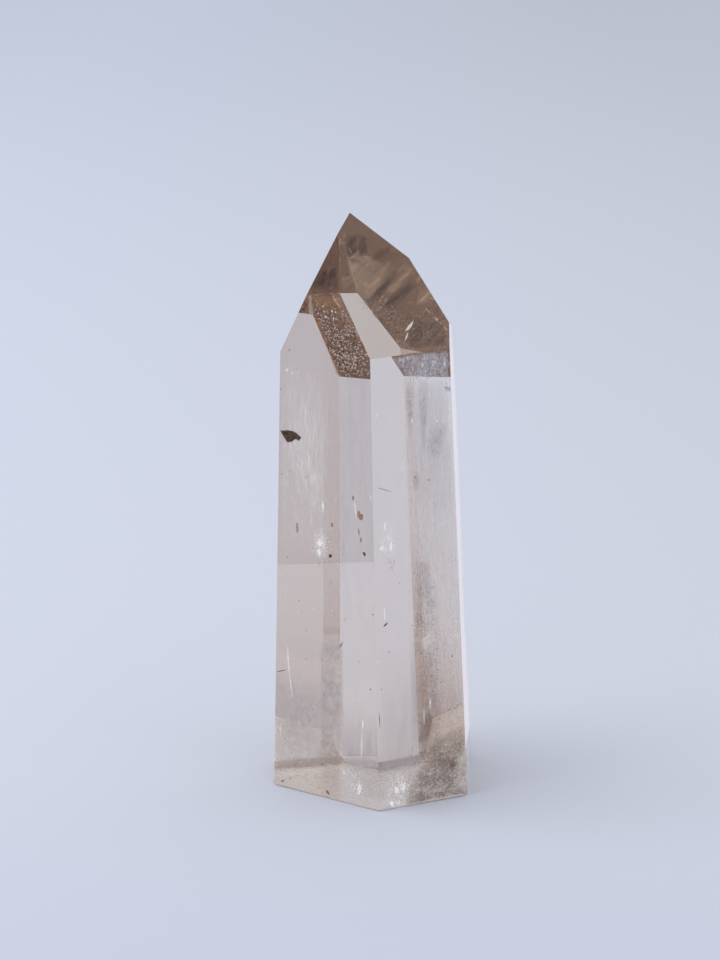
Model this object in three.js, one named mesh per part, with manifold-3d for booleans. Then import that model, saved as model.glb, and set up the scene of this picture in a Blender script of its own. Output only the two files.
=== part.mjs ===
import * as THREE from 'three';
import { mergeVertices } from 'three/addons/utils/BufferGeometryUtils.js';
import Module from 'manifold-3d';

// A smoky quartz point: one six-sided crystal, sawn flat below so that it stands, with its six tip faces
// meeting off centre. The faces are flat, and all but the narrow ones around the base are polished.
// Millimetres, +Z up. The origin is on the base, in the middle of the crystal's width and depth, and the
// front looks towards -Y.
// A face's facing is its compass direction in degrees, from +X towards +Y.

// The six sides. The front left one is upright, and the others lean in from the base up. Reach is how far
// a side's foot stands from the middle line, and bevel is the height of the narrow ground edge at its foot.
const FRONT_LEFT_SIDE = { facing: 234.5, lean: 0, reach: 17.4, bevel: 0.3 };
const FRONT_RIGHT_SIDE = { facing: 296.2, lean: 1.2, reach: 20.0, bevel: 0.35 };
const RIGHT_SIDE = { facing: 356.0, lean: 2.7, reach: 20.0, bevel: 0.35 };
const BACK_RIGHT_SIDE = { facing: 62.2, lean: 5.0, reach: 20.57, bevel: 0.5 };
const BACK_LEFT_SIDE = { facing: 120.3, lean: 3.5, reach: 17.65, bevel: 1.1 };
const LEFT_SIDE = { facing: 174.0, lean: 1.3, reach: 20.1, bevel: 0.5 };

// The six tip faces. Pitch is how far each faces up, and crossing is the height at which its plane cuts
// the middle line. The back right face is the largest, then the front one, and the front left, back left
// and right ones are small.
const FRONT_TIP_FACE = { facing: 295.2, pitch: 27.2, crossing: 128.7 };
const FRONT_LEFT_TIP_FACE = { facing: 230.7, pitch: 22.9, crossing: 146.25 };
const RIGHT_TIP_FACE = { facing: 4.0, pitch: 31.9, crossing: 120.95 };
const BACK_RIGHT_TIP_FACE = { facing: 63.0, pitch: 31.9, crossing: 106.0 };
const BACK_LEFT_TIP_FACE = { facing: 117.4, pitch: 27.9, crossing: 119.85 };
const LEFT_TIP_FACE = { facing: 170.7, pitch: 26.1, crossing: 127.8 };

// The base bevels are ground at one slope, and the front right foot has lost its corner to a small chip.
const BEVEL_PITCH = -45;
const FOOT_CHIP = { facing: 322, pitch: -20, reach: 22.45 };

// The rough block that the faces are cut from
const BLOCK_WIDTH = 60;
const BLOCK_HEIGHT = 130;
const CUTTER_SIZE = 300;

const QUARTZ_COLOUR = 0x9c8474;
const QUARTZ_ROUGHNESS = 0.04;

const sides = [FRONT_LEFT_SIDE, FRONT_RIGHT_SIDE, RIGHT_SIDE, BACK_RIGHT_SIDE, BACK_LEFT_SIDE, LEFT_SIDE];
const tipFaces = [
  FRONT_TIP_FACE,
  FRONT_LEFT_TIP_FACE,
  RIGHT_TIP_FACE,
  BACK_RIGHT_TIP_FACE,
  BACK_LEFT_TIP_FACE,
  LEFT_TIP_FACE,
];

const wasm = await Module();
wasm.setup();

function solidFrom(geometry) {
  geometry.deleteAttribute('normal');
  geometry.deleteAttribute('uv');
  const merged = mergeVertices(geometry);
  return new wasm.Manifold(new wasm.Mesh({
    numProp: 3,
    vertProperties: new Float32Array(merged.attributes.position.array),
    triVerts: new Uint32Array(merged.index.array),
  }));
}

function geometryFrom(solid) {
  const mesh = solid.getMesh();
  const geometry = new THREE.BufferGeometry();
  geometry.setAttribute('position', new THREE.BufferAttribute(mesh.vertProperties, 3));
  geometry.setIndex(new THREE.BufferAttribute(mesh.triVerts, 1));
  geometry.computeVertexNormals();
  return geometry;
}

function outwardDirection(facing, pitch) {
  const around = THREE.MathUtils.degToRad(facing);
  const up = THREE.MathUtils.degToRad(pitch);
  return new THREE.Vector3(Math.cos(up) * Math.cos(around), Math.cos(up) * Math.sin(around), Math.sin(up));
}

// A big block whose flat front lies on the plane through a point, with its body on the outer side.
function cutterBeyond(direction, point) {
  const block = new THREE.BoxGeometry(CUTTER_SIZE, CUTTER_SIZE, CUTTER_SIZE);
  block.translate(CUTTER_SIZE / 2, 0, 0);
  const turn = new THREE.Quaternion().setFromUnitVectors(new THREE.Vector3(1, 0, 0), direction);
  block.applyQuaternion(turn);
  block.translate(point.x, point.y, point.z);
  return solidFrom(block);
}

function sideCut({ facing, lean, reach }) {
  const foot = outwardDirection(facing, 0).multiplyScalar(reach);
  return cutterBeyond(outwardDirection(facing, lean), foot);
}

function tipCut({ facing, pitch, crossing }) {
  return cutterBeyond(outwardDirection(facing, pitch), new THREE.Vector3(0, 0, crossing));
}

function bevelCut({ facing, lean, reach, bevel }) {
  const leanedIn = bevel * Math.tan(THREE.MathUtils.degToRad(lean));
  const upperEdge = outwardDirection(facing, 0).multiplyScalar(reach - leanedIn);
  upperEdge.z = bevel;
  return cutterBeyond(outwardDirection(facing, BEVEL_PITCH), upperEdge);
}

function chipCut({ facing, pitch, reach }) {
  return cutterBeyond(outwardDirection(facing, pitch), outwardDirection(facing, 0).multiplyScalar(reach));
}

function cutCrystal() {
  const block = new THREE.BoxGeometry(BLOCK_WIDTH, BLOCK_WIDTH, BLOCK_HEIGHT);
  block.translate(0, 0, BLOCK_HEIGHT / 2);
  const cuts = [...sides.map(sideCut), ...tipFaces.map(tipCut), ...sides.map(bevelCut), chipCut(FOOT_CHIP)];
  return cuts.reduce((stone, cut) => stone.subtract(cut), solidFrom(block));
}

const quartz = new THREE.MeshStandardMaterial({
  color: QUARTZ_COLOUR,
  roughness: QUARTZ_ROUGHNESS,
  metalness: 0,
  flatShading: true,
});

const crystal = new THREE.Mesh(geometryFrom(cutCrystal()), quartz);
crystal.name = 'quartz_point';

const point = new THREE.Group();
point.name = 'smoky_quartz_point';
point.add(crystal);

export default point;
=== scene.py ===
import math
import random
from collections import namedtuple

import bmesh
import bpy
from mathutils import Matrix, Vector
from mathutils.bvhtree import BVHTree


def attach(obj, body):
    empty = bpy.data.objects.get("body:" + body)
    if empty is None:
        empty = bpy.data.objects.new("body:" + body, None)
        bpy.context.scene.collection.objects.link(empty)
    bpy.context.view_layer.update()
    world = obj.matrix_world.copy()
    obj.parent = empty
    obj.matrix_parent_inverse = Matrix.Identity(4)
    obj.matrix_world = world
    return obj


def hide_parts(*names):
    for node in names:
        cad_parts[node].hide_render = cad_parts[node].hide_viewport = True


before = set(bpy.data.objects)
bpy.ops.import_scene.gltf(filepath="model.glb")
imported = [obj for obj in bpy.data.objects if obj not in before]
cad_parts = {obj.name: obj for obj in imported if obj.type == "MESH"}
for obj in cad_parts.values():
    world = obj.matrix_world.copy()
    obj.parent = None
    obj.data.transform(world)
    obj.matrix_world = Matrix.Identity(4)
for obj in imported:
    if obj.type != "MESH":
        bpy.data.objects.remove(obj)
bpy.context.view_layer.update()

# A smoky quartz point on a pale floor in soft light. Metres, with the stone standing on z = 0 and its front
# towards -Y. Lengths that are easier to read in millimetres are multiplied by MM.
MM = 0.001

# The picture, and the camera a little over half a metre in front of the stone, looking down at it
PICTURE_WIDTH = 720
PICTURE_HEIGHT = 960
CAMERA_PLACE = Vector((-3.003, -518.12, 192.72)) * MM
CAMERA_DROP = math.radians(13.963)
FOCAL_LENGTH_IN_PIXELS = 2600.97
SENSOR_LONG_SIDE = 36.0
CAMERA_NEAR = 0.01
CAMERA_FAR = 100.0

# How strongly quartz bends light, and how it colours the light that passes through it
QUARTZ_INDEX = 1.544
ABSORPTION_DENSITY = 30.0
ABSORPTION_COLOUR = (0.91, 0.81, 0.727, 1.0)
# What a polished face lets through, the tints of the tip's front faces, and the painted shade on the darkest
# base bevel
CLEAR = (1, 1, 1, 1)
TIP_TINT = (0.70, 0.61, 0.49, 1)
LEFT_TIP_TINT = (0.45, 0.27, 0.17, 1)
BEVEL_SHADE_TINT = (0.28, 0.28, 0.34, 1)

# The compass directions of the faces that have a finish of their own, and how far off still counts. Two worn
# and finely pitted faces lie on the back right, one above the other.
PITTED_FACING = math.radians(62.6)
FRONT_LEFT_FACING = math.radians(-129.3)
BACK_LEFT_FACING = math.radians(120.3)
FACING_SLACK = math.radians(2.0)
BEVEL_SLACK = math.radians(20.0)

# The upward part of a face's outward direction: its range on the tip, and its limits for an upright side, a
# bevel and the base
TIP_RISE = (0.3, 0.7)
SIDE_RISE = -0.02
BEVEL_RISE = -0.1
BASE_RISE = -0.95
# Faces smaller than this are worn edges.
BROAD = 4 * MM * MM

WELD_DISTANCE = 1e-6
FLAT_ANGLE = math.radians(0.4)
EDGE_WEAR = 0.13 * MM
EDGE_WEAR_STEPS = 2
EDGE_WEAR_PROFILE = 0.5
# How far past a face a ray starts, so that it doesn't meet the same face again
STEP_OFF = 1e-6

# The patches that vary the stone's wear and gather its grains, in cells a metre
PATCH_SCALE = 420.0
PATCH_RANGE = (0.4, 0.6)

# The colour sockets of a Mix node
MIX_FIRST = 6
MIX_SECOND = 7
MIX_RESULT = 2

FLOOR_DROP = 0.1 * MM
FLOOR_RADIUS = 14.0
FLOOR_CORNERS = 96


def add_node(tree, kind, settings=None, sockets=None):
    """Adds a node, makes its settings, then fills its sockets with values or links."""
    made = tree.nodes.new(kind)
    for name, value in (settings or {}).items():
        setattr(made, name, value)
    for name, value in (sockets or {}).items():
        if isinstance(value, Value):
            tree.links.new(value.socket, made.inputs[name])
        elif isinstance(value, bpy.types.NodeSocket):
            tree.links.new(value, made.inputs[name])
        else:
            made.inputs[name].default_value = value
    return made


def mix(tree, share, first, second):
    """One colour turning into another as share goes from 0 to 1."""
    sockets = {"Factor": share, MIX_FIRST: first, MIX_SECOND: second}
    return add_node(tree, "ShaderNodeMix", {"data_type": "RGBA"}, sockets).outputs[MIX_RESULT]


class Value:
    """A number in a node tree. Sums with it add their Math nodes."""

    def __init__(self, tree, socket):
        self.tree = tree
        self.socket = socket

    def sum(self, operation, *terms):
        made = add_node(self.tree, "ShaderNodeMath", {"operation": operation}, dict(enumerate(terms)))
        return Value(self.tree, made.outputs[0])

    def __add__(self, other):
        return self.sum("ADD", self, other)

    def __sub__(self, other):
        return self.sum("SUBTRACT", self, other)

    def __rsub__(self, other):
        return self.sum("SUBTRACT", other, self)

    def __mul__(self, other):
        return self.sum("MULTIPLY", self, other)

    def __truediv__(self, other):
        return self.sum("DIVIDE", self, other)

    def __pow__(self, other):
        return self.sum("POWER", self, other)

    def clamped(self):
        return self.sum("MAXIMUM", self.sum("MINIMUM", self, 1.0), 0.0)

    def rising(self, start, end):
        """0 at start, 1 at end, and held there beyond them."""
        return ((self - start) / (end - start)).clamped()

    __radd__ = __add__
    __rmul__ = __mul__


class Finish:
    """A material under construction, with the patterns that its surface needs."""

    def __init__(self, name):
        self.material = bpy.data.materials.new(name)
        self.material.use_nodes = True
        self.tree = self.material.node_tree
        self.tree.nodes.clear()
        self.place = self.node("ShaderNodeTexCoord").outputs["Object"]

    def node(self, kind, settings=None, sockets=None):
        return add_node(self.tree, kind, settings, sockets)

    def noise(self, scale, detail=2.0, roughness=0.5, stretch=(1, 1, 1), turn=(0, 0, 0)):
        """Cloudy noise between 0 and 1, with its scale in cells a metre, drawn out along its turned axes."""
        laid = self.node("ShaderNodeMapping", {"vector_type": "TEXTURE"}, {
            "Vector": self.place, "Rotation": turn, "Scale": stretch,
        })
        sockets = {"Vector": laid.outputs[0], "Scale": scale, "Detail": detail, "Roughness": roughness}
        made = self.node("ShaderNodeTexNoise", None, sockets)
        return Value(self.tree, made.outputs[0])

    def cells(self, scale):
        """Distance to the nearest of scattered points, with the scale in cells a metre."""
        made = self.node("ShaderNodeTexVoronoi", None, {"Vector": self.place, "Scale": scale})
        return Value(self.tree, made.outputs["Distance"])

    def along(self, axis):
        """The place along the X, Y or Z axis."""
        return Value(self.tree, self.node("ShaderNodeSeparateXYZ", None, {0: self.place}).outputs[axis])

    def attribute(self, name):
        made = self.node("ShaderNodeAttribute", {"attribute_name": name})
        return Value(self.tree, made.outputs["Fac"])

    def mixed(self, share, first, second):
        return mix(self.tree, share, first, second)

    def bump(self, height, strength, distance, under=None):
        sockets = {"Height": height, "Strength": strength, "Distance": distance}
        if under:
            sockets["Normal"] = under
        return self.node("ShaderNodeBump", None, sockets).outputs["Normal"]

    def surface(self, **sockets):
        named = {name.replace("_", " "): value for name, value in sockets.items()}
        return self.node("ShaderNodeBsdfPrincipled", None, named)

    def done(self, shader, volume=None):
        sockets = {"Surface": shader.outputs[0]}
        if volume:
            sockets["Volume"] = volume.outputs[0]
        self.node("ShaderNodeOutputMaterial", None, sockets)
        return self.material


def add_object(name, mesh, material):
    made = bpy.data.objects.new(name, mesh)
    bpy.context.scene.collection.objects.link(made)
    mesh.materials.clear()
    mesh.materials.append(material)
    return made


def mesh_from(shape, name):
    made = bpy.data.meshes.new(name)
    shape.to_mesh(made)
    shape.free()
    return made


# Where things in the stone show in the picture

def welded_crystal():
    """A welded copy of the solid, one polygon to each flat face."""
    shape = bmesh.new()
    shape.from_mesh(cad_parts["quartz_point"].data)
    bmesh.ops.remove_doubles(shape, verts=shape.verts, dist=WELD_DISTANCE)
    bmesh.ops.dissolve_limit(shape, angle_limit=FLAT_ANGLE, verts=shape.verts, edges=shape.edges)
    return shape


def bent_inwards(ray, outward):
    """The direction in which a ray goes on inside the quartz."""
    ratio = 1 / QUARTZ_INDEX
    cosine = -ray.dot(outward)
    straight = math.sqrt(1 - ratio ** 2 * (1 - cosine ** 2))
    return (ray * ratio + outward * (ratio * cosine - straight)).normalized()


# The middle of the stone in the picture, and the steps in which a place that misses the stone slides there
STONE_MIDDLE = (370.0, 500.0)
COLUMN_SLIDE = 0.3
ROW_SLIDE = COLUMN_SLIDE / 3
FACE_CLEARANCE = 0.05 * MM


class Sight:
    """Finds the places inside the stone that show at given places in the picture."""

    def __init__(self):
        shape = welded_crystal()
        self.stone = BVHTree.FromBMesh(shape)
        self.faces = [(face.normal.copy(), face.verts[0].co.copy()) for face in shape.faces]
        shape.free()
        self.turn = Matrix.Rotation(math.radians(90) - CAMERA_DROP, 3, "X")

    def holds(self, point):
        """Whether a point lies inside the stone, clear of its faces."""
        return all(outward.dot(point - corner) < -FACE_CLEARANCE for outward, corner in self.faces)

    def line(self, column, row):
        across = (column - PICTURE_WIDTH / 2) / FOCAL_LENGTH_IN_PIXELS
        up = (PICTURE_HEIGHT / 2 - row) / FOCAL_LENGTH_IN_PIXELS
        return (self.turn @ Vector((across, up, -1))).normalized()

    def through(self, column, row):
        """Where the line of sight enters the stone, its direction inside, and how far it goes there.
        A place that just misses the stone slides towards its middle."""
        ray = self.line(column, row)
        entry, outward, _, _ = self.stone.ray_cast(CAMERA_PLACE, ray)
        while entry is None:
            column += math.copysign(COLUMN_SLIDE, STONE_MIDDLE[0] - column)
            row += math.copysign(ROW_SLIDE, STONE_MIDDLE[1] - row)
            ray = self.line(column, row)
            entry, outward, _, _ = self.stone.ray_cast(CAMERA_PLACE, ray)
        inward = bent_inwards(ray, outward)
        _, _, _, length = self.stone.ray_cast(entry + inward * STEP_OFF, inward)
        return entry, inward, length

    def place(self, column, row, share):
        """The point at a share of the way through, and the direction of sight there."""
        entry, inward, length = self.through(column, row)
        return entry + inward * length * share, inward


sight = Sight()


def make_camera():
    lens = bpy.data.cameras.new("camera")
    lens.sensor_width = SENSOR_LONG_SIDE
    lens.lens = FOCAL_LENGTH_IN_PIXELS * SENSOR_LONG_SIDE / PICTURE_HEIGHT
    lens.clip_start = CAMERA_NEAR
    lens.clip_end = CAMERA_FAR
    camera = bpy.data.objects.new("camera", lens)
    camera.location = CAMERA_PLACE
    camera.rotation_euler = (math.radians(90) - CAMERA_DROP, 0, 0)
    bpy.context.scene.collection.objects.link(camera)
    bpy.context.scene.camera = camera


# The stone itself

def label_faces(shape):
    """Marks the bevels ground round the base, the darkest of them, which carries painted shade, the sawn
    base, the pitted faces and the tip's front faces."""
    names = ("ground", "shaded_bevel", "sawn", "pitted", "tip", "left_tip")
    mark = {name: shape.faces.layers.float.new(name) for name in names}
    least, most = TIP_RISE
    for face in shape.faces:
        rise = face.normal.z
        facing = math.atan2(face.normal.y, face.normal.x)
        sloping = least < rise < most and face.calc_area() > BROAD
        sideways = SIDE_RISE < rise < most
        undercut = BASE_RISE < rise < BEVEL_RISE
        face[mark["ground"]] = float(undercut)
        face[mark["shaded_bevel"]] = float(undercut and abs(facing - BACK_LEFT_FACING) < BEVEL_SLACK)
        face[mark["sawn"]] = float(rise < BASE_RISE)
        face[mark["pitted"]] = float(sideways and abs(facing - PITTED_FACING) < FACING_SLACK)
        face[mark["tip"]] = float(sloping and face.normal.y < 0)
        face[mark["left_tip"]] = float(sloping and abs(facing - FRONT_LEFT_FACING) < FACING_SLACK)


# How the stone is worn: the scales of the patterns in cells a metre, how they are drawn out upwards, and how
# wide and strong the pits are
WIPING_SCALE = 90
WIPING_STRETCH = (1, 1, 4)
FROST_SCALE = 2600
DRAWN_SCALE = 700
DRAWN_STRETCH = (1, 1, 9)
PIT_SCALE = 1900
PIT_WIDTH = 0.4
PIT_STRENGTH = 2.0
# The heights over which the sides' wear gives way to the tip's, and over which the tip's pits end
TIP_START = (0.083, 0.086)
PITS_END = (0.101, 0.092)
DRAWN_SHARE = 0.13
SIDE_PIT_SHARE = 0.08
BUMP_STRENGTH = 0.6
FROST_DEPTH = 0.05 * MM
WEAR_DEPTH = 0.14 * MM
# Roughness of the polish, the marks of wiping, the ground bevels, and the sawn base with its patches
POLISHED = 0.004
WIPED = 0.012
GROUND = 0.42
SAWN = 0.15
SAWN_PATCHES = 0.2
# How far the frost breaks up the painted shade on the darkest bevel
TINT_GRAIN = 0.4


def quartz_finish():
    """Clear brown quartz, polished on its faces, frosted where it is ground, pitted on the back right."""
    finish = Finish("smoky_quartz")
    ground = finish.attribute("ground")
    sawn = finish.attribute("sawn")
    pitted = finish.attribute("pitted")
    wiping = finish.noise(WIPING_SCALE, detail=3.0, roughness=0.6, stretch=WIPING_STRETCH)
    grain = finish.noise(FROST_SCALE, detail=3.0, roughness=0.7)
    patches = finish.noise(PATCH_SCALE, detail=3.0, roughness=0.65).rising(*PATCH_RANGE)
    low_on_tip = finish.along("Z").rising(*PITS_END)
    on_tip = finish.along("Z").rising(*TIP_START)
    pits = (PIT_WIDTH - finish.cells(PIT_SCALE)).clamped() * PIT_STRENGTH
    drawn = finish.noise(DRAWN_SCALE, detail=4.0, roughness=0.6, stretch=DRAWN_STRETCH)
    tip_wear = pits * patches * low_on_tip * on_tip
    side_wear = (drawn * DRAWN_SHARE + pits * SIDE_PIT_SHARE * patches) * (1 - on_tip)
    roughness = POLISHED + WIPED * wiping + GROUND * ground + (SAWN + SAWN_PATCHES * patches) * sawn
    frosting = finish.bump(grain * ground, BUMP_STRENGTH, FROST_DEPTH)
    normal = finish.bump((tip_wear + side_wear) * pitted, BUMP_STRENGTH, WEAR_DEPTH, frosting)
    tint = finish.mixed(finish.attribute("tip"), CLEAR, TIP_TINT)
    tint = finish.mixed(finish.attribute("left_tip"), tint, LEFT_TIP_TINT)
    # The darkest base bevel gets a grey tint of painted shade, broken up by the frost.
    painted_bevel_shade = finish.attribute("shaded_bevel") * (1 - TINT_GRAIN + TINT_GRAIN * grain)
    tint = finish.mixed(painted_bevel_shade, tint, BEVEL_SHADE_TINT)
    glass = finish.surface(
        Base_Color=tint,
        Roughness=roughness,
        IOR=QUARTZ_INDEX,
        Transmission_Weight=1.0,
        Normal=normal,
    )
    brown = finish.node("ShaderNodeVolumeAbsorption", None, {
        "Color": ABSORPTION_COLOUR,
        "Density": ABSORPTION_DENSITY,
    })
    return finish.done(glass, brown)


def carry(piece):
    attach(piece, "root")


def make_crystal():
    """The stone with its edges very slightly worn, as on any handled crystal."""
    shape = welded_crystal()
    bmesh.ops.bevel(
        shape,
        geom=shape.edges[:] + shape.verts[:],
        offset=EDGE_WEAR,
        segments=EDGE_WEAR_STEPS,
        profile=EDGE_WEAR_PROFILE,
        affect="EDGES",
        clamp_overlap=True,
    )
    shape.normal_update()
    label_faces(shape)
    crystal = add_object("crystal", mesh_from(shape, "crystal"), quartz_finish())
    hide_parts("quartz_point")
    carry(crystal)


# What lies inside the stone. Each thing is given by the place where it shows in the picture, as column and
# row, and by its share of the way from the face in front of it to the next one behind.

CLOUD_STEPS = 12
CLOUD_THICKNESS = 0.08 * MM
FADE = "fade"

# Four corners from the upper left one round by the right, the share of the way through, the strength, how
# softly it fades towards its rim, and the strength at its foot where that is another one
Cloud = namedtuple("Cloud", "corners share strength softness foot", defaults=[1, 0.5, None])
# The softness of clouds that keep most or all of their strength up to the rim
CRISP = 0.12
SHARP = 0.0

# The band under the front tip face, painted in the blue-grey of the pale surroundings that show through the
# tip there, and a small patch below its right end
BLUE_BAND_LIGHT_CLOUDS = [
    Cloud([(390, 357.4), (449.3, 349.5), (451, 378), (404.5, 377.5)], 0.03, 1.2, CRISP),
    Cloud([(443.5, 386), (450.5, 386.5), (450.5, 391.5), (446, 391)], 0.03, 1.6, CRISP),
]
# The veil down the front right face, faint streaks above it, and painted shade along the mirrored base
BROWN_CLOUDS = [
    Cloud([(415, 575), (438, 575), (441, 660), (416, 660)], 0.22, 0.6, 0.7),
    Cloud([(418, 650), (438, 645), (443, 748), (419, 750)], 0.22, 0.8, 0.7),
    Cloud([(424, 744), (468, 720), (468, 775), (422, 790)], 0.15, 1.5),
    Cloud([(416, 765), (468, 752), (468, 801), (414, 809)], 0.12, 1.5, 0.4, foot=1.6),
    Cloud([(402, 770), (426, 762), (428, 808), (406, 812)], 0.1, 0.8, 0.7, foot=1.0),
    Cloud([(403, 378), (416, 378), (412, 450), (409, 450)], 0.1, 0.9, 0.8, foot=0.5),
    Cloud([(417, 378), (429, 378), (426, 455), (421, 455)], 0.12, 0.9, 0.8, foot=0.5),
    Cloud([(428, 424), (450, 420), (440, 458), (425, 462)], 0.12, 0.8, 0.8, foot=0.6),
    Cloud([(411, 470), (421, 470), (420, 490), (412, 490)], 0.12, 0.7, 0.8),
    Cloud([(415, 560), (431, 560), (431, 600), (415, 600)], 0.12, 0.6),
    # Painted shade along the mirrored base, where its back edges show
    Cloud([(275.5, 759), (343, 756), (344, 765), (275.5, 769)], 0.03, 1.0, 0.3),
    Cloud([(340, 757), (385, 761), (385, 770), (340, 768)], 0.02, 0.8, 0.4, foot=0.6),
    Cloud([(420, 762), (456, 760), (456, 768), (420, 769)], 0.03, 0.7, 0.3),
]
# Broad even tints of painted shade: the right part of the front left face, much of the front right one, and
# the foot between
ROSE_SHADE_CLOUDS = [
    Cloud([(340, 374), (370.6, 374), (374, 562), (341, 562)], 0.005, 0.8, SHARP),
    Cloud([(341, 562), (374, 562), (376.6, 700), (342, 700)], 0.005, 0.6, SHARP, foot=0.3),
    Cloud([(342, 700), (376.6, 700), (377.6, 756), (343, 756)], 0.005, 0.3, SHARP, foot=1.8),
    Cloud([(404, 378), (451, 378), (456, 520), (404, 520)], 0.05, 2.0, foot=0.6),
    Cloud([(406, 450), (456, 450), (460, 620), (408, 620)], 0.05, 0.8, 0.8),
    Cloud([(379, 650), (462, 650), (465, 764), (380, 764)], 0.02, 0.1, 0.3, foot=1.5),
    Cloud([(345, 768), (410, 768), (410, 804), (350, 797)], 0.02, 0.9, 0.3),
]
# Grey hazes of painted shade towards the foot: two on the front left face, one on the front right, two at
# the mirrored base
GREY_SHADE_CLOUDS = [
    Cloud([(320, 640), (343, 640), (344, 760), (321, 760)], 0.005, 2.2, 0.25, foot=1.6),
    Cloud([(272, 680), (327, 680), (327, 768), (272, 768)], 0.01, 1.3, foot=1.9),
    Cloud([(343, 752), (380, 756), (382, 775), (343, 771)], 0.01, 1.1, 0.7),
    Cloud([(379, 762), (421, 751), (421, 768), (380, 777)], 0.01, 1.1, 0.7),
    Cloud([(408, 620), (424, 620), (427, 748), (411, 748)], 0.05, 0.7, 0.8, foot=1.0),
]
# Dark patches and streaks in the tip, from the front face to the left one
DARK_CLOUDS = [
    Cloud([(346, 235), (356.5, 232), (358, 258), (346, 256)], 0.05, 1.5, 0.25),
    Cloud([(357, 233), (367, 236), (367.6, 256.5), (358, 257.5)], 0.05, 1.3, 0.25),
    Cloud([(364, 302), (396, 268), (402, 273), (372, 308)], 0.05, 1.5, 0.7),
    Cloud([(378, 310), (408, 276), (418, 284), (392, 314)], 0.05, 1.7, 0.7),
    Cloud([(366, 258), (386, 242), (400, 254), (378, 268)], 0.05, 1.0, 0.7),
    Cloud([(404, 312), (446, 324), (447, 346), (408, 350)], 0.05, 0.8, 0.3, foot=1.1),
    Cloud([(316, 270), (337, 266), (337.6, 288), (310, 290)], 0.05, 1.9),
    Cloud([(297, 300), (308.4, 300), (308.4, 313), (297, 313)], 0.03, 0.6, 0.3, foot=1.2),
]
# Light streaks and lines in the tip, and one stain on the front right face
GOLD_CLOUDS = [
    Cloud([(346, 262), (384, 255), (386, 280), (350, 292)], 0.05, 0.9, 0.7),
    Cloud([(358, 292), (388, 258), (398, 264), (370, 298)], 0.05, 1.5, 0.7),
    Cloud([(384, 292), (404, 258), (418, 272), (398, 298)], 0.05, 2.2, 0.7),
    Cloud([(311, 296.4), (331, 297), (334, 306), (314, 308)], 0.02, 1.4, 0.4, foot=0.8),
    Cloud([(418, 285), (431, 286), (434, 304), (416, 305)], 0.06, 2.6),
    Cloud([(375, 309), (383, 304), (385, 307), (377, 312)], 0.06, 2.4),
    Cloud([(407.6, 302), (415, 301.2), (415, 303.4), (407.6, 304.4)], 0.05, 2.6),
    Cloud([(421, 301.4), (427, 301), (427, 303), (421, 303.6)], 0.05, 2.6),
    Cloud([(422.4, 323), (424.8, 323), (424.6, 345), (422.6, 345)], 0.05, 2.0),
    Cloud([(426, 325), (427.6, 325), (427.6, 341), (426, 341)], 0.05, 1.6),
    Cloud([(344.8, 224), (346.6, 224), (344.2, 243), (342, 243)], 0.03, 1.2),
    Cloud([(342, 243), (344, 243), (353.2, 269), (350.8, 269)], 0.03, 1.2),
    Cloud([(350.8, 269), (353, 269), (358.4, 293), (356.2, 293)], 0.03, 1.1),
    Cloud([(338.9, 234), (340, 234), (340.6, 291), (339.6, 291)], 0.01, 1.3, CRISP),
    Cloud([(328, 290), (334.6, 279), (337.4, 279), (331, 291)], 0.05, 1.8),
    Cloud([(341, 276), (353, 276), (354, 292.3), (341, 292.3)], 0.05, 0.9, 0.3),
    Cloud([(434, 438), (452, 438), (452, 472), (436, 472)], 0.1, 0.5),
]
# The warm top and left rim of the sparkling patch
AMBER_CLOUDS = [
    Cloud([(311, 296), (337, 297), (346, 318), (318, 312)], 0.02, 0.7, 0.4, foot=0.4),
    Cloud([(310.6, 299), (313, 298.5), (317.6, 317), (314, 318)], 0.02, 0.8, 0.3, foot=1.0),
    Cloud([(313.6, 316), (317.6, 315), (329.6, 346), (325.2, 347)], 0.02, 1.1, 0.3),
    Cloud([(325.4, 346), (329.4, 345), (341.6, 376), (337.6, 377.4)], 0.02, 1.1, 0.3, foot=0.9),
]
# Milky veils in both front faces, with soft glints that are a painted glow
PALE_CLOUDS = [
    Cloud([(313.5, 529), (326, 529), (328, 559), (314, 559)], 0.08, 0.9, foot=1.3),
    Cloud([(379, 520), (395, 520), (396, 555), (379, 555)], 0.06, 0.5, foot=0.9),
    Cloud([(400, 462), (412, 462), (412, 472), (400, 472)], 0.08),
    Cloud([(424, 490), (455, 490), (457, 620), (427, 620)], 0.12, 0.5),
    Cloud([(431, 385), (437, 385), (437, 436), (430, 436)], 0.1, 1.2, 0.8),
    Cloud([(441, 392), (451, 392), (452, 440), (443, 440)], 0.1, 0.9, 0.8),
    Cloud([(455, 752), (466, 752), (466, 770), (455, 770)], 0.05),
    Cloud([(383, 768), (410, 768), (410, 806), (383, 808)], 0.05, 0.5, foot=0.9),
    Cloud([(412, 744), (434, 737), (436, 746), (412, 755)], 0.1, 0.7),
    Cloud([(420, 640), (433, 628), (438, 640), (421, 653)], 0.1),
    Cloud([(449, 711), (456, 711), (456, 724), (449, 724)], 0.1, 0.8),
    Cloud([(276, 741), (323, 736), (323, 757), (276, 759)], 0.02, 0.9, 0.8, foot=0.6),
    Cloud([(281, 356), (329, 372), (329, 560), (278, 560)], 0.04, 0.9, 0.8, foot=0.55),
    Cloud([(376, 385), (448, 385), (456, 660), (381, 660)], 0.04, 0.2, 0.3),
]


def between(first, second, share):
    return tuple(a + (b - a) * share for a, b in zip(first, second))


def cloud_point(cloud, across, down, offset):
    """A point of the cloud's sheet, pushed along the line of sight by offset."""
    left_top, right_top, right_foot, left_foot = cloud.corners
    column, row = between(between(left_top, right_top, across), between(left_foot, right_foot, across), down)
    point, inward = sight.place(column, row, cloud.share)
    return point + inward * offset


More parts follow.
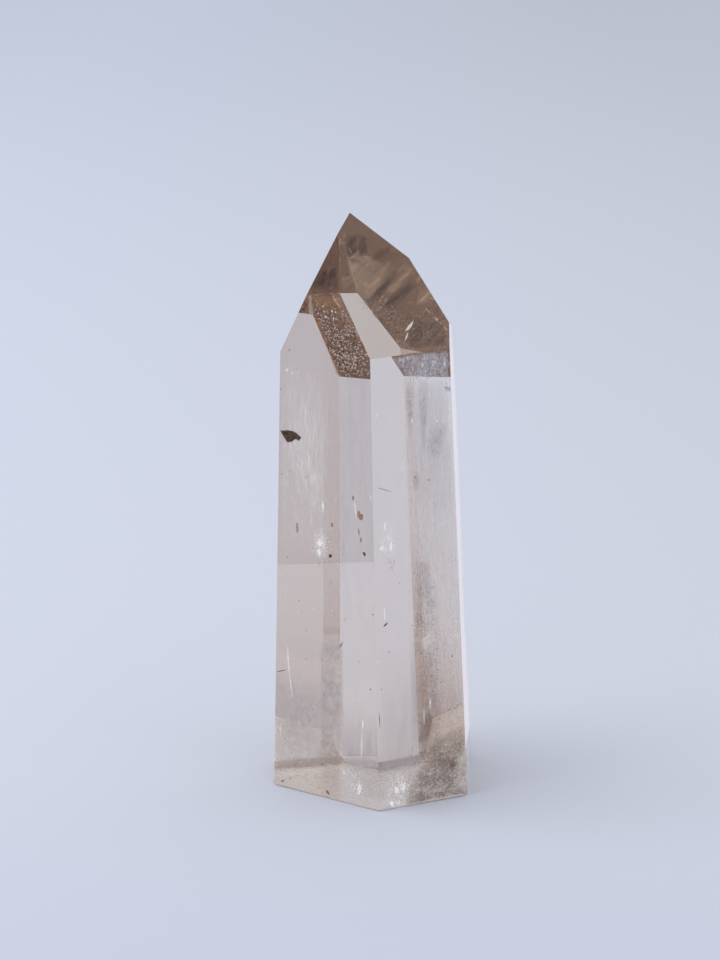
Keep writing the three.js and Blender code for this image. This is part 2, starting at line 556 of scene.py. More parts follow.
def add_cloud(shape, cloud):
    """A thin closed sheet that is strongest in its middle and fades away at its rim."""
    fade = shape.verts.layers.float.get(FADE) or shape.verts.layers.float.new(FADE)
    foot = cloud.strength if cloud.foot is None else cloud.foot
    steps = range(CLOUD_STEPS + 1)
    sheets = []
    for offset in (-CLOUD_THICKNESS / 2, CLOUD_THICKNESS / 2):
        sheet = {}
        for i in steps:
            for j in steps:
                across, down = i / CLOUD_STEPS, j / CLOUD_STEPS
                corner = shape.verts.new(cloud_point(cloud, across, down, offset))
                middling = math.sin(math.pi * across) * math.sin(math.pi * down)
                strength = cloud.strength + (foot - cloud.strength) * down
                corner[fade] = strength * max(middling, 0.0) ** cloud.softness
                sheet[i, j] = corner
        sheets.append(sheet)
    near, far = sheets
    faces = []
    for i in steps[:-1]:
        for j in steps[:-1]:
            around = [(i, j), (i, j + 1), (i + 1, j + 1), (i + 1, j)]
            faces.append(shape.faces.new([near[at] for at in around]))
            faces.append(shape.faces.new([far[at] for at in reversed(around)]))
    rim = [(i, 0) for i in steps[:-1]]
    rim += [(CLOUD_STEPS, j) for j in steps[:-1]]
    rim += [(i, CLOUD_STEPS) for i in reversed(steps[1:])]
    rim += [(0, j) for j in reversed(steps[1:])]
    for first, second in zip(rim, rim[1:] + rim[:1]):
        faces.append(shape.faces.new([near[first], near[second], far[second], far[first]]))
    return faces


# A haze's dull and bright colours, how well it covers, how even it is, its grains in cells a metre, how they
# are drawn out and turned, the painted glow that stands for its glints, and how speckled it is
Look = namedtuple("Look", "dull bright cover evenness fineness stretch turn glint speckle", defaults=[1.0])
WISP_SCALE = 300
WISP_RANGE = (0.34, 0.68)
SPECKLE_RANGE = (0.35, 0.7)
MIDDLE_SPECKLE = 0.5
HAZE_BODY = 0.8
HAZE_ROUGHNESS = 0.6
WISP_ROUGHNESS = 0.2
HAZE_INDEX = 1.1


def cloud_finish(name, look):
    """A thin see-through haze, broken into wisps and fine grains, with a painted glow that stands for
    glints.
    """
    finish = Finish(name)
    laid = {"stretch": look.stretch, "turn": look.turn}
    wisps = finish.noise(WISP_SCALE, detail=4.0, roughness=0.6, **laid).rising(*WISP_RANGE)
    grains = finish.noise(look.fineness, detail=2.0, roughness=0.7, **laid).rising(*SPECKLE_RANGE)
    colour = finish.mixed(grains, look.dull, look.bright)
    wispy = look.evenness + (1 - look.evenness) * wisps
    speckled = HAZE_BODY + look.speckle * (grains - MIDDLE_SPECKLE)
    alpha = (finish.attribute(FADE) * wispy * speckled * look.cover).clamped()
    shader = finish.surface(
        Base_Color=colour,
        Roughness=HAZE_ROUGHNESS + WISP_ROUGHNESS * wisps,
        IOR=HAZE_INDEX,
        Alpha=alpha,
        # Its own light is a painted glow that stands for glints.
        Emission_Color=colour,
        Emission_Strength=look.glint,
    )
    return finish.done(shader)


# Flat flakes, each drawn by the outline that shows in the picture
Flake = namedtuple("Flake", "outline share")
FLAKE_THICKNESS = 0.05 * MM

# A stroke's corners, as the share of its length and the share of its half width to one side
STROKE = [(0, 0), (0.4, 1), (0.75, 0.7), (1, 0), (0.75, -0.6), (0.4, -0.9)]
# A chip's corners, how far each is turned at most, and the range of their reach as shares of half its size
CHIP_CORNERS = 6
CHIP_TURN = 0.3
CHIP_REACH = (0.55, 1.15)


def stroke(start, end, width, share):
    """A flake in the form of a tapering stroke."""
    along = Vector(end) - Vector(start)
    side = Vector((-along.y, along.x)).normalized() * width / 2
    return Flake([tuple(Vector(start) + along * part + side * out) for part, out in STROKE], share)


def chip(column, row, size, turns):
    """The outline of a small uneven chip."""
    corners = []
    for i in range(CHIP_CORNERS):
        angle = math.tau * i / CHIP_CORNERS + turns.uniform(-CHIP_TURN, CHIP_TURN)
        reach = size / 2 * turns.uniform(*CHIP_REACH)
        corners.append((column + reach * math.cos(angle), row + reach * math.sin(angle)))
    return corners


def add_flake(shape, flake, thickness=FLAKE_THICKNESS):
    """A thin closed flake with a sharp rim."""
    rim = []
    for column, row in flake.outline:
        point, inward = sight.place(column, row, flake.share)
        rim.append(shape.verts.new(point))
    middle = sum((corner.co for corner in rim), Vector()) / len(rim)
    near = shape.verts.new(middle - inward * thickness)
    far = shape.verts.new(middle + inward * thickness)
    for first, second in zip(rim, rim[1:] + rim[:1]):
        shape.faces.new([near, first, second])
        shape.faces.new([far, second, first])


def make_piece(name, things, add, material):
    """One piece of hazes or flakes, each of them added by the same function."""
    shape = bmesh.new()
    for thing in things:
        add(shape, thing)
    bmesh.ops.recalc_face_normals(shape, faces=shape.faces)
    carry(add_object(name, mesh_from(shape, name), material))


# A flake's dull and bright colours, its roughness, the painted glow that stands for its glints, and its
# patches in cells a metre
Shine = namedtuple("Shine", "dull bright roughness glint fineness", defaults=[0.0, 2200])
SHINES = {
    "white_flake": Shine((0.8, 0.82, 0.88, 1), (1.0, 1.0, 1.0, 1), 0.35, 0.45),
    "strip_flake": Shine((0.6, 0.5, 0.4, 1), (0.72, 0.64, 0.54, 1), 0.5, 0.05),
    "cream_flake": Shine((0.5, 0.4, 0.3, 1), (1.0, 0.92, 0.82, 1), 0.4, 0.35),
    "rust_flake": Shine((0.45, 0.26, 0.13, 1), (0.85, 0.6, 0.4, 1), 0.4, 0.1),
    "brown_flake": Shine((0.16, 0.09, 0.05, 1), (0.6, 0.42, 0.3, 1), 0.5, 0.08, 900),
    "fan_flake": Shine((0.05, 0.025, 0.015, 1), (0.26, 0.17, 0.12, 1), 0.5, 0.0, 2400),
    "dark_flake": Shine((0.06, 0.035, 0.025, 1), (0.2, 0.13, 0.1, 1), 0.5),
}
FLAKE_PATCH_RANGE = (0.35, 0.65)
DULL_ROUGHNESS = 0.15
UNEVEN_SCALE = 4000
UNEVEN_STRENGTH = 0.4
UNEVEN_DEPTH = 0.05 * MM
FLAKE_INDEX = 1.3


def flake_finish(name, shine):
    """A hard little flake, uneven in colour and shine, with a painted glow that stands for its glints."""
    finish = Finish(name)
    patches = finish.noise(shine.fineness).rising(*FLAKE_PATCH_RANGE)
    uneven = finish.bump(finish.noise(UNEVEN_SCALE), UNEVEN_STRENGTH, UNEVEN_DEPTH)
    colour = finish.mixed(patches, shine.dull, shine.bright)
    shader = finish.surface(
        Base_Color=colour,
        Roughness=shine.roughness + DULL_ROUGHNESS * patches,
        IOR=FLAKE_INDEX,
        Normal=uneven,
        # Its own light is a painted glow that stands for glints.
        Emission_Color=colour,
        Emission_Strength=shine.glint,
    )
    return finish.done(shader)


# Bright cracks and splinters, their brightness partly a painted glow
WHITE_FLAKES = [
    stroke((322.7, 500), (323.3, 513), 1.6, 0.08),
    stroke((354.3, 500.5), (356.8, 519), 1.5, 0.04),
    stroke((384.3, 607), (384.8, 621), 1.4, 0.04),
    Flake([(405, 331), (408.5, 325.5), (413.5, 320.4), (411.8, 326.4), (408.4, 330)], 0.03),
    stroke((405.0, 341), (408.2, 332), 1.7, 0.03),
    Flake([(379.5, 549.5), (381, 547), (382.7, 544.8), (383.5, 548), (381.5, 550.5)], 0.04),
    stroke((391, 541), (391.5, 552), 2.0, 0.05),
    stroke((385.5, 521), (384.8, 532), 1.5, 0.04),
    stroke((387.5, 533), (388.5, 541), 1.2, 0.05),
    stroke((287.3, 646), (289.6, 677), 1.0, 0.08),
    stroke((289.6, 675), (292.6, 699), 1.1, 0.08),
    stroke((280.3, 724), (280.8, 736), 2.0, 0.05),
    stroke((363.2, 719), (362.8, 730), 1.8, 0.03),
    stroke((361.8, 731), (361.5, 762), 1.6, 0.03),
    stroke((370.2, 494.5), (370.6, 500), 1.6, 0.01),
    Flake([(318, 541), (320, 538), (322, 541.5), (321.5, 546), (319, 546.5), (317.5, 544)], 0.08),
    Flake([(317.5, 551), (319.5, 548.5), (321, 552), (320.5, 556), (318.5, 556.5)], 0.08),
    Flake([(394, 789.5), (396, 786.5), (399, 789), (398.5, 793), (395.5, 793.5)], 0.05),
    Flake([(400.5, 785), (403.5, 782.5), (406, 787), (404, 792), (401, 790)], 0.05),
    Flake([(389.5, 803), (392, 800.5), (394, 804), (392.5, 807)], 0.04),
    Flake([(357.5, 787), (359.5, 783), (361.5, 788), (360, 794), (358, 795)], 0.03),
    stroke((424, 708), (424.3, 726), 1.3, 0.1),
    stroke((430, 696), (430.2, 710), 1.2, 0.1),
    stroke((343.6, 770.5), (344.6, 775), 1.6, 0.04),
]
# The strip beside the sparkling patch
PALE_FLAKES = [
    Flake([(309.0, 295.3), (311.2, 295.3), (313.2, 314.2), (309.2, 313.8)], 0.02),
]
# Rust-coloured flecks in the front left face
RUST_FLAKES = [
    Flake([(358, 510), (360.2, 511.5), (359.8, 515.5), (357.6, 518.5), (357.2, 514)], 0.03),
    Flake([(360.6, 513.5), (363.4, 515), (362.6, 519.8), (360, 520.3), (358.6, 517)], 0.025),
    stroke((358.4, 527.5), (359.2, 536), 1.4, 0.03),
    Flake([(360, 538.5), (361.6, 537.6), (361.8, 541.5), (360.4, 543)], 0.03),
    Flake([(296, 523), (298, 522.5), (298.5, 529), (297.3, 535), (296, 530)], 0.1),
    Flake([(331, 522.5), (333.2, 523.5), (333, 527.3), (331, 526.5)], 0.08),
]
# Dark needles and chips
DARK_FLAKES = [
    Flake([(362.5, 552.5), (364.5, 552), (366, 555), (364.5, 556.5)], 0.03),
    Flake([(328.5, 555), (331.5, 554), (332, 557), (329.5, 558)], 0.08),
    stroke((353, 495), (353.2, 501), 1.4, 0.04),
    stroke((343.2, 641.5), (338, 650), 1.8, 0.06),
    stroke((388, 622.5), (383.3, 627), 1.8, 0.03),
    stroke((275.8, 672.4), (287, 669.3), 1.1, 0.08),
    stroke((379.0, 711), (380.2, 729), 0.8, 0.01),
    stroke((376, 487.4), (393, 492.2), 0.6, 0.02),
    stroke((326.2, 790), (329.6, 795), 1.8, 0.08),
    stroke((281, 781.5), (284.5, 780.5), 1.8, 0.08),
    stroke((449, 765.6), (454.5, 764.4), 2.2, 0.1),
]
# The dark fan near the left edge
FAN_FLAKE = Flake([
    (280.2, 430.6), (288, 430.2), (294.5, 431.6), (301.2, 437.4), (299, 440.8), (295.5, 438.8),
    (292.4, 441.4), (287.4, 442.4), (284.2, 437.5),
], 0.03)

# Single small specks on the long front faces, as column, row and width
DARK_SPECKS = [
    (298.7, 600.7, 1.6), (301.5, 611, 1.3), (306.4, 630.6, 1.6), (306.4, 659, 1.7), (301, 725, 2),
    (291, 726, 2), (359, 662, 1.6), (370.4, 689.5, 1.8), (381.7, 689.5, 1.6), (290, 778, 1.6),
    (297, 772, 1.5), (415, 477, 2), (428.5, 480, 2), (289.5, 350, 1.8), (349, 400, 1.2),
    (280.5, 389, 1.6), (300, 430, 1), (298, 452, 1.2), (306, 477, 1.3), (290, 471, 1.4), (282, 474, 1.6),
    (296.6, 369, 1.2), (331, 582, 1.4), (399.5, 583, 1.4), (345, 619.5, 1.5), (373, 615, 2),
    (320.5, 541, 1.2), (287.5, 557, 1.2), (389, 652, 2), (452, 656, 2),
]
WHITE_SPECKS = [
    (323.3, 306.3, 1.8), (324.7, 311.7, 1.4), (332, 311.3, 1.9), (335.7, 312, 1.4), (318, 313.3, 1.7),
    (319.7, 309, 1.2), (326, 317, 1.8), (333.3, 318.7, 1.7), (412, 421, 2.4), (437, 421, 2.6),
    (443, 422, 2.2), (378.4, 662, 1.8), (287, 370, 2.4), (292, 373, 1.8), (377, 416, 1.6),
    (441.5, 620, 2.4), (456, 622, 1.8), (446, 745, 1.6), (430, 774, 2), (300.5, 762, 1.6),
]


# Small grains, scattered by rule over a sheet that is laid as a cloud is: how many, the smallest and largest
# half width and how far they stray from the sheet in millimetres, and how patchy they are
Scatter = namedtuple("Scatter", "cloud count smallest largest depth patchiness")

# The sheets over which two kinds of grain are sown
BAND = Cloud([(400, 358), (449, 351), (450, 377), (405, 377)], 0.04, 1, 0.3)
SPARKLING_PATCH = Cloud([(329, 338), (353, 334), (369, 376), (341, 376)], 0.03, 1, 0.3)
TIP_MIDDLE = Cloud([(357, 300), (380, 290), (404, 316), (404, 350)], 0.05, 1, 0.3)
TIP_RIGHT = Cloud([(404, 312), (430, 308), (447, 326), (404, 350)], 0.05, 1, 0.3)
VEIL = Cloud([(415, 580), (438, 580), (443, 746), (416, 748)], 0.08)
FRONT_LEFT = Cloud([(283, 352), (355, 385), (355, 770), (277, 770)], 0.12)
FRONT_RIGHT_TOP = Cloud([(410, 385), (454, 385), (459, 600), (412, 600)], 0.15)
LEFT_FOOT = Cloud([(276, 700), (343, 710), (343, 800), (276, 780)], 0.05, 0.5, 0.3, foot=1)
RIGHT_FOOT = Cloud([(378, 755), (420, 755), (420, 803), (379, 810)], 0.04, 0.5, 0.3, foot=1)

WHITE_SCATTERS = [
    Scatter(BAND, 260, 0.05, 0.12, 0.3, 0.3),
    Scatter(Cloud([(313, 529), (327, 529), (329, 560), (313, 560)], 0.08, 0.5, foot=1),
            200, 0.04, 0.18, 1.0, 0.3),
    Scatter(Cloud([(379, 535), (396, 535), (397, 557), (378, 557)], 0.06), 100, 0.04, 0.17, 0.8, 0.3),
    Scatter(Cloud([(384, 768), (410, 768), (410, 807), (384, 809)], 0.05), 640, 0.04, 0.2, 0.8, 0.4),
    Scatter(Cloud([(348, 768), (364, 770), (364, 801), (348, 797)], 0.02), 300, 0.04, 0.17, 0.3, 0.3),
    Scatter(FRONT_RIGHT_TOP, 420, 0.04, 0.14, 3.0, 0.5),
    Scatter(Cloud([(415, 600), (460, 600), (466, 745), (415, 745)], 0.2), 330, 0.04, 0.14, 3.0, 0.4),
    Scatter(Cloud([(415, 745), (466, 738), (466, 800), (415, 806)], 0.12, 1, 0.3),
            700, 0.05, 0.16, 2.0, 0.3),
    Scatter(FRONT_LEFT, 200, 0.03, 0.1, 2.5, 0.3),
    Scatter(LEFT_FOOT, 320, 0.04, 0.13, 1.0, 0.3),
    Scatter(RIGHT_FOOT, 300, 0.04, 0.13, 0.8, 0.3),
]
CREAM_SCATTERS = [
    Scatter(Cloud([(317, 304), (343, 308), (356, 338), (330, 345)], 0.03, 0.6, foot=1),
            150, 0.03, 0.17, 0.3, 0.6),
    Scatter(SPARKLING_PATCH, 330, 0.03, 0.2, 0.3, 0.6),
    Scatter(VEIL, 450, 0.03, 0.13, 0.6, 0.6),
    Scatter(Cloud([(416, 750), (467, 730), (467, 801), (412, 809)], 0.06, 1, 0.4),
            540, 0.03, 0.13, 0.6, 0.5),
    Scatter(TIP_MIDDLE, 420, 0.03, 0.12, 0.3, 0.4),
    Scatter(TIP_RIGHT, 420, 0.03, 0.11, 0.3, 0.4),
    Scatter(Cloud([(281, 431), (296, 433), (294, 440), (285, 441)], 0.02, 1, 0.2), 26, 0.03, 0.11, 0.2, 0.2),
]
DARK_SCATTERS = [
    Scatter(Cloud([(318, 310), (340, 314), (352, 336), (330, 345)], 0.03, 0.4, foot=1),
            120, 0.04, 0.2, 0.3, 0.6),
    Scatter(SPARKLING_PATCH._replace(share=0.035), 420, 0.04, 0.26, 0.3, 0.5),
    Scatter(VEIL, 420, 0.04, 0.13, 0.6, 0.7),
    Scatter(Cloud([(418, 745), (468, 725), (468, 801), (414, 809)], 0.06, 1, 0.4),
            520, 0.04, 0.14, 0.6, 0.6),
    Scatter(Cloud([(275.5, 757), (343, 755), (344, 767), (275.5, 770)], 0.03, 1, 0.2),
            170, 0.03, 0.1, 0.3, 0.4),
    Scatter(TIP_MIDDLE, 420, 0.04, 0.16, 0.3, 0.4),
    Scatter(TIP_RIGHT, 420, 0.04, 0.15, 0.3, 0.4),
    Scatter(Cloud([(417, 742), (466, 730), (467, 800), (417, 807)], 0.15, 1, 0.3),
            260, 0.04, 0.12, 2.0, 0.5),
    Scatter(Cloud([(346, 768), (386, 772), (386, 808), (350, 798)], 0.03, 1, 0.4), 90, 0.03, 0.11, 0.3, 0.4),
    Scatter(Cloud([(384, 766), (412, 766), (412, 808), (386, 810)], 0.04, 1, 0.4),
            110, 0.03, 0.12, 0.5, 0.4),
]
BROWN_SCATTERS = [
    Scatter(BAND._replace(share=0.05), 160, 0.05, 0.12, 0.3, 0.3),
    Scatter(Cloud([(415, 575), (438, 575), (443, 746), (416, 748)], 0.22), 900, 0.04, 0.14, 2.0, 0.5),
    Scatter(Cloud([(414, 744), (467, 726), (467, 801), (408, 810)], 0.18, 0.8, 0.4, foot=1),
            1300, 0.05, 0.16, 2.0, 0.4),
    Scatter(Cloud([(414, 558), (433, 558), (433, 600), (414, 600)], 0.15), 180, 0.05, 0.16, 1.5, 0.5),
    Scatter(Cloud([(276, 755), (343, 753), (344, 769), (276, 771)], 0.05, 1, 0.2),
            300, 0.05, 0.13, 0.6, 0.3),
    Scatter(LEFT_FOOT, 320, 0.04, 0.12, 1.0, 0.3),
    Scatter(RIGHT_FOOT, 240, 0.04, 0.13, 0.8, 0.3),
    Scatter(Cloud([(314, 556), (334, 556), (334, 573), (314, 573)], 0.08), 60, 0.05, 0.14, 0.8, 0.3),
    Scatter(Cloud([(386, 554), (397, 554), (397, 572), (386, 572)], 0.06), 50, 0.05, 0.14, 0.6, 0.3),
    Scatter(Cloud([(280, 430), (301, 431), (299, 442), (284, 442)], 0.025, 1, 0.2),
            90, 0.05, 0.14, 0.3, 0.2),
    Scatter(FRONT_RIGHT_TOP, 260, 0.04, 0.12, 3.0, 0.6),
    Scatter(FRONT_LEFT, 170, 0.03, 0.09, 2.5, 0.4),
    Scatter(Cloud([(378, 390), (412, 390), (414, 790), (387, 800)], 0.06), 90, 0.03, 0.09, 1.0, 0.4),
]
WHITE_SEED = 11
CREAM_SEED = 261
DARK_SEED = 361
BROWN_SEED = 511
SEED_STEP = 10
GRAIN_CORNERS = 12
GRAIN_FLATNESS = 0.45
# More grains are sown than are wanted, because patches and faint rims thin them out.
SOWING = 1.6
# A single speck's share of the way through, and its half thickness to each pixel of its width
SPECK_SHARES = (0.01, 0.02)
SPECK_THICKNESS = 0.05 * MM


def scatter_tree():
    """Scatters turned grains of uneven size over a sheet, most of them where its fade is strongest."""
    tree = bpy.data.node_groups.new("scattered_grains", "GeometryNodeTree")
    numbers = dict.fromkeys(("Density", "Smallest", "Largest", "Depth", "Patchiness"), "Float")
    kinds = {"Geometry": "Geometry", **numbers, "Seed": "Int", "Material": "Material"}
    for name, kind in kinds.items():
        tree.interface.new_socket(name, in_out="INPUT", socket_type="NodeSocket" + kind)
    tree.interface.new_socket("Geometry", in_out="OUTPUT", socket_type="NodeSocketGeometry")
    given = add_node(tree, "NodeGroupInput").outputs

    def value(name):
        return Value(tree, given[name])

    fade = add_node(tree, "GeometryNodeInputNamedAttribute", None, {"Name": FADE})
    noise = add_node(tree, "ShaderNodeTexNoise", None, {"Scale": PATCH_SCALE, "Detail": 2.0})
    patch = Value(tree, noise.outputs[0]).rising(*PATCH_RANGE)
    spread = Value(tree, fade.outputs["Attribute"]) * (1 - value("Patchiness") * (1 - patch))
    points = add_node(tree, "GeometryNodeDistributePointsOnFaces", None, {
        "Mesh": given["Geometry"], "Density": spread * value("Density"), "Seed": given["Seed"],
    })
    jump = add_node(tree, "FunctionNodeRandomValue", {"data_type": "FLOAT_VECTOR"}, {
        0: (-1, -1, -1), 1: (1, 1, 1), "Seed": given["Seed"],
    })
    offset = add_node(tree, "ShaderNodeVectorMath", {"operation": "SCALE"}, {
        0: jump.outputs["Value"], "Scale": value("Depth"),
    })
    placed = add_node(tree, "GeometryNodeSetPosition", None, {
        "Geometry": points.outputs["Points"], "Offset": offset.outputs["Vector"],
    })
    luck = add_node(tree, "FunctionNodeRandomValue", None, {"Seed": value("Seed") + 1})
    growth = Value(tree, luck.outputs["Value"]) ** 2
    size = value("Smallest") + growth * (value("Largest") - value("Smallest"))
    axes = add_node(tree, "ShaderNodeCombineXYZ", None, {
        "X": size, "Y": size * (1 - GRAIN_FLATNESS / 2), "Z": size * (1 - GRAIN_FLATNESS),
    })
    turn = add_node(tree, "FunctionNodeRandomValue", {"data_type": "FLOAT_VECTOR"}, {
        0: (0, 0, 0), 1: (math.tau, math.tau, math.tau), "Seed": value("Seed") + 2,
    })
    grain = add_node(tree, "GeometryNodeMeshIcoSphere", None, {"Subdivisions": 1})
    grains = add_node(tree, "GeometryNodeInstanceOnPoints", None, {
        "Points": placed.outputs["Geometry"], "Instance": grain.outputs["Mesh"],
        "Rotation": turn.outputs["Value"], "Scale": axes.outputs["Vector"],
    })
    real = add_node(tree, "GeometryNodeRealizeInstances", None, {"Geometry": grains.outputs["Instances"]})
    made = add_node(tree, "GeometryNodeSetMaterial", None, {
        "Geometry": real.outputs["Geometry"], "Material": given["Material"],
    })
    add_node(tree, "NodeGroupOutput", None, {"Geometry": made.outputs["Geometry"]})
    return tree


def scattered(tree, scatter, seed, material):
    """The grains of one scatter as a plain mesh."""
    shape = bmesh.new()
    faces = add_cloud(shape, scatter.cloud)
    area = sum(face.calc_area() for face in faces)
    sheet = add_object("sheet", mesh_from(shape, "sheet"), material)
    modifier = sheet.modifiers.new("grains", "NODES")
    modifier.node_group = tree
    sizes = {
        "Density": scatter.count / area * SOWING,
        "Smallest": scatter.smallest * MM,
        "Largest": scatter.largest * MM,
        "Depth": scatter.depth * MM,
        "Patchiness": scatter.patchiness,
        "Seed": seed,
        "Material": material,
    }
    for item in tree.interface.items_tree:
        if item.in_out == "INPUT" and item.name in sizes:
            modifier[item.identifier] = sizes[item.name]
    around = bpy.context.evaluated_depsgraph_get()
    made = bpy.data.meshes.new_from_object(sheet.evaluated_get(around))
    bpy.data.objects.remove(sheet)
    return made


def drop_stray_grains(shape):
    """Takes out the grains that aren't wholly inside the stone."""
    shape.verts.ensure_lookup_table()
    stray = []
    for first in range(0, len(shape.verts), GRAIN_CORNERS):
        grain = shape.verts[first:first + GRAIN_CORNERS]
        if not all(sight.holds(corner.co) for corner in grain):
            stray += grain
    bmesh.ops.delete(shape, geom=stray, context="VERTS")


def make_grains(name, scatters, specks, material, seed, tree):
    """One piece of grains: those that are scattered by rule, and the single ones."""
    shape = bmesh.new()
    for number, scatter in enumerate(scatters):
        made = scattered(tree, scatter, seed + number * SEED_STEP, material)
        shape.from_mesh(made)
        bpy.data.meshes.remove(made)
    drop_stray_grains(shape)
    turns = random.Random(seed)
    singles = bmesh.new()
    for column, row, size in specks:
        outline = chip(column, row, size, turns)
        add_flake(singles, Flake(outline, turns.uniform(*SPECK_SHARES)), size * SPECK_THICKNESS)
    bmesh.ops.recalc_face_normals(singles, faces=singles.faces)
    single_mesh = mesh_from(singles, "singles")
    shape.from_mesh(single_mesh)
    bpy.data.meshes.remove(single_mesh)
    carry(add_object(name, mesh_from(shape, name), material))


# How the grains of a haze are drawn out along X, Y and Z, and how those axes are turned
UPRIGHT = ((0.5, 0.5, 3), (0, 0, 0))
EVEN = ((1, 1, 1), (0, 0, 0))
TALL = ((0.6, 0.6, 1.2), (0, 0, 0))
SLANTED = ((2.5, 0.3, 0.3), (0, math.radians(-30), math.radians(42.5)))
HAZES = {
    "blue_band_painted_light": (BLUE_BAND_LIGHT_CLOUDS, Look(
        (0.45, 0.44, 0.49, 1), (0.8, 0.8, 0.88, 1), 0.8, 0.3, 1100, *TALL, 0.2)),
    "brown_veils_and_shade": (BROWN_CLOUDS, Look(
        (0.24, 0.15, 0.11, 1), (0.6, 0.46, 0.38, 1), 0.5, 0.3, 1800, *EVEN, 0.05)),
    "rose_painted_shade": (ROSE_SHADE_CLOUDS, Look(
        (0.26, 0.17, 0.13, 1), (0.32, 0.22, 0.18, 1), 0.12, 0.7, 400, *UPRIGHT, 0, 0.4)),
    "grey_painted_shade": (GREY_SHADE_CLOUDS, Look(
        (0.5, 0.45, 0.45, 1), (0.62, 0.57, 0.57, 1), 0.45, 0.8, 700, *EVEN, 0.25, 0.2)),
    "dark_haze": (DARK_CLOUDS, Look(
        (0.05, 0.018, 0.012, 1), (0.1, 0.045, 0.032, 1), 0.4, 0.5, 250, *SLANTED, 0)),
    "gold_haze": (GOLD_CLOUDS, Look(
        (0.6, 0.42, 0.3, 1), (0.9, 0.7, 0.54, 1), 0.32, 0.1, 250, *SLANTED, 0.15)),
    "amber_haze": (AMBER_CLOUDS, Look(
        (0.45, 0.2, 0.06, 1), (0.8, 0.46, 0.2, 1), 0.6, 0.4, 1500, *EVEN, 0.05)),
    "pale_haze": (PALE_CLOUDS, Look(
        (0.78, 0.77, 0.78, 1), (1, 1, 0.98, 1), 0.45, 0.25, 900, *UPRIGHT, 0.35, 0.6)),
}


def make_inside():
    shine = {name: flake_finish(name, values) for name, values in SHINES.items()}
    make_piece("white_flakes", WHITE_FLAKES, add_flake, shine["white_flake"])
    make_piece("pale_strip", PALE_FLAKES, add_flake, shine["strip_flake"])
    make_piece("rust_flakes", RUST_FLAKES, add_flake, shine["rust_flake"])
    make_piece("fan_flake", [FAN_FLAKE], add_flake, shine["fan_flake"])
    make_piece("dark_flakes", DARK_FLAKES, add_flake, shine["dark_flake"])
    tree = scatter_tree()
    make_grains("white_grains", WHITE_SCATTERS, WHITE_SPECKS, shine["white_flake"], WHITE_SEED, tree)
    make_grains("cream_grains", CREAM_SCATTERS, [], shine["cream_flake"], CREAM_SEED, tree)
    make_grains("dark_grains", DARK_SCATTERS, [], shine["dark_flake"], DARK_SEED, tree)
    make_grains("brown_grains", BROWN_SCATTERS, DARK_SPECKS, shine["brown_flake"], BROWN_SEED, tree)
    for name, (clouds, look) in HAZES.items():
        make_piece(name, clouds, add_cloud, cloud_finish(name, look))


# The floor, the light and the air around

# The pale floor, and the darker colours of painted shade that it turns to on the right and in front
FLOOR_COLOUR = (0.79, 0.822, 0.91, 1)
FLOOR_SHADE_RIGHT = (0.742, 0.745, 0.79, 1)
FLOOR_SHADE_FRONT = (0.71, 0.73, 0.82, 1)
HORIZON_COLOUR = (0.53, 0.555, 0.625, 1)
OVERHEAD_COLOUR = (0.70, 0.735, 0.80, 1)
# How far overhead the air reaches its overhead colour
OVERHEAD = 0.85
# The air glows on the right, a little upwards and towards the camera. The range is from where the glow
# begins to where it is full, as the cosine of the angle from its middle.
GLOW_WAY = Vector((0.84, -0.33, 0.43))
GLOW = 0.12
GLOW_RANGE = (0.7, 0.97)

# Where the floor's colour turns into the painted shade on its right, and into the painted shade in front
TURNS_RIGHT = (-0.25, 0.25)
TURNS_NEAR = (0.0, -0.12)
MOTTLE_SCALE = 40
PAPER_SCALE = 900
PAPER_STRENGTH = 0.05
PAPER_DEPTH = 0.1 * MM
FLOOR_ROUGHNESS = 0.85
MOTTLE_ROUGHNESS = 0.1


def make_floor():
    finish = Finish("pale_floor")
    mottle = finish.noise(MOTTLE_SCALE, detail=3.0)
    paper = finish.bump(finish.noise(PAPER_SCALE), PAPER_STRENGTH, PAPER_DEPTH)
    shade_right = finish.along("X").rising(*TURNS_RIGHT)
    shade_front = finish.along("Y").rising(*TURNS_NEAR)
    # Painted shade: the floor darkens towards the right and the front.
    colour = finish.mixed(shade_front, finish.mixed(shade_right, FLOOR_COLOUR, FLOOR_SHADE_RIGHT), FLOOR_SHADE_FRONT)
    shader = finish.surface(
        Base_Color=colour,
        Roughness=FLOOR_ROUGHNESS + MOTTLE_ROUGHNESS * mottle,
        Specular_IOR_Level=0.0,
        Normal=paper,
    )
    shape = bmesh.new()
    bmesh.ops.create_circle(shape, cap_ends=True, segments=FLOOR_CORNERS, radius=FLOOR_RADIUS)
    bmesh.ops.translate(shape, verts=shape.verts, vec=(0, 0, -FLOOR_DROP))
    floor = add_object("floor", mesh_from(shape, "floor"), finish.done(shader))


# Cards that lie on the floor and show only as mirror images in the stone's faces: a bright and a dark one on
# the left, which the front left face mirrors, and one behind for the right face. Each has its corners, as X
# and Y, and the colour and strength of its light.
CARD_HEIGHT = 0.3 * MM
Card = namedtuple("Card", "corners colour strength")
CARDS = {
    "bright_card": Card(
        [(-0.158, -0.15), (-0.024, -0.15), (-0.024, 0.03), (-0.201, 0.03)], (0.96, 0.95, 1, 1), 1.35),
    "dark_card": Card(
        [(-0.7, -0.35), (-0.110, -0.35), (-0.201, 0.03), (-0.7, 0.03)], (0, 0, 0, 1), 0),
    "back_card": Card(
        [(0.0212, -0.012), (0.05, -0.012), (0.12, 0.6), (0.045, 0.6)], (0.9, 0.89, 1, 1), 0.88),
}


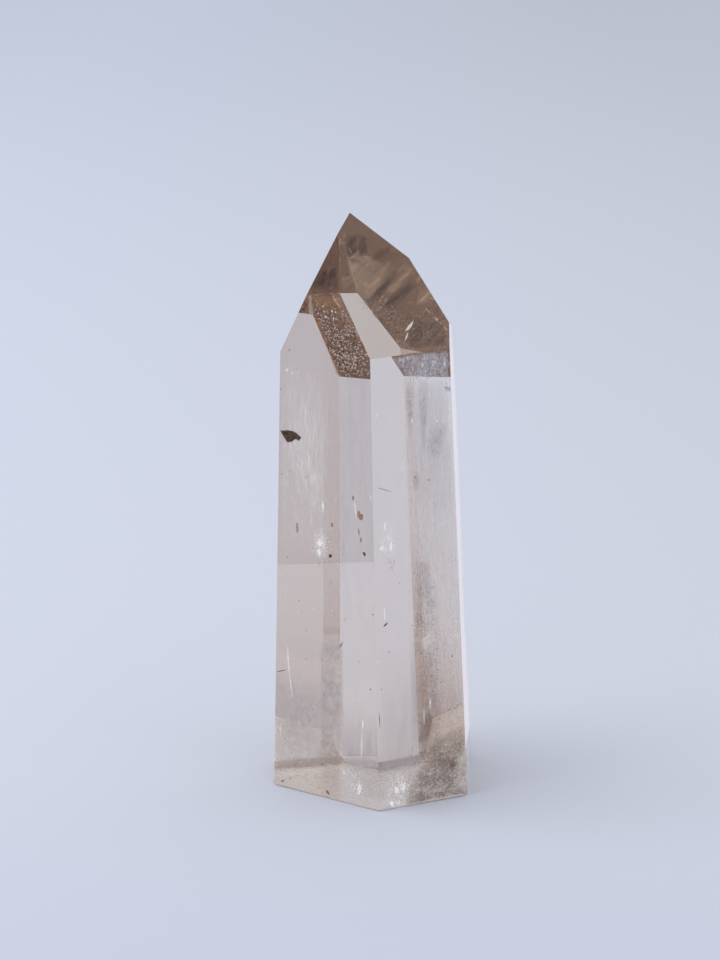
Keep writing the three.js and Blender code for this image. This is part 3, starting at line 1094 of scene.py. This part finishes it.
def add_card(name, card):
    finish = Finish(name)
    shine = finish.node("ShaderNodeEmission", None, {"Color": card.colour, "Strength": card.strength})
    shape = bmesh.new()
    shape.faces.new([shape.verts.new((x, y, CARD_HEIGHT)) for x, y in card.corners])
    made = add_object(name, mesh_from(shape, name), finish.done(shine))
    made.visible_camera = False
    made.visible_diffuse = False
    made.visible_transmission = False
    made.visible_volume_scatter = False
    made.visible_shadow = False


def make_cards():
    for name, card in CARDS.items():
        add_card(name, card)


def make_air():
    """A soft pale light all round, brighter overhead and on the right."""
    world = bpy.data.worlds.new("studio")
    world.use_nodes = True
    tree = world.node_tree
    tree.nodes.clear()
    way = add_node(tree, "ShaderNodeTexCoord").outputs["Generated"]
    parts = add_node(tree, "ShaderNodeSeparateXYZ", None, {0: way})
    upward = Value(tree, parts.outputs["Z"]).rising(0, OVERHEAD)
    colour = mix(tree, upward, HORIZON_COLOUR, OVERHEAD_COLOUR)
    facing = add_node(tree, "ShaderNodeVectorMath", {"operation": "DOT_PRODUCT"}, {0: way, 1: GLOW_WAY})
    strength = 1 + GLOW * Value(tree, facing.outputs["Value"]).rising(*GLOW_RANGE)
    sky = add_node(tree, "ShaderNodeBackground", None, {"Color": colour, "Strength": strength})
    add_node(tree, "ShaderNodeOutputWorld", None, {"Surface": sky.outputs[0]})
    bpy.context.scene.world = world


SOFT_LIGHT_SIZE = 1.2
SOFT_LIGHT_PLACE = Vector((-0.95, -0.15, 1.3))
SOFT_LIGHT_POWER = 6.2
SOFT_LIGHT_AIM = Vector((0, 0, 0.05))


def make_soft_light():
    lamp = bpy.data.lights.new("soft_light", "AREA")
    lamp.size = SOFT_LIGHT_SIZE
    lamp.energy = SOFT_LIGHT_POWER
    light = bpy.data.objects.new("soft_light", lamp)
    light.location = SOFT_LIGHT_PLACE
    light.rotation_euler = (SOFT_LIGHT_AIM - SOFT_LIGHT_PLACE).to_track_quat("-Z", "Y").to_euler()
    light.visible_camera = False
    bpy.context.scene.collection.objects.link(light)


# Light is mirrored and bent many times in the stone before it leaves. On the floor a few bounces are enough.
LIGHT_TURNS = 16
FLOOR_BOUNCES = 2


def set_light_paths():
    cycles = bpy.context.scene.cycles
    cycles.max_bounces = LIGHT_TURNS
    cycles.diffuse_bounces = FLOOR_BOUNCES
    cycles.glossy_bounces = LIGHT_TURNS
    cycles.transmission_bounces = LIGHT_TURNS
    cycles.transparent_max_bounces = LIGHT_TURNS
    bpy.context.scene.view_settings.view_transform = "Standard"


make_camera()
set_light_paths()
make_floor()
make_cards()
make_air()
make_soft_light()
make_crystal()
make_inside()
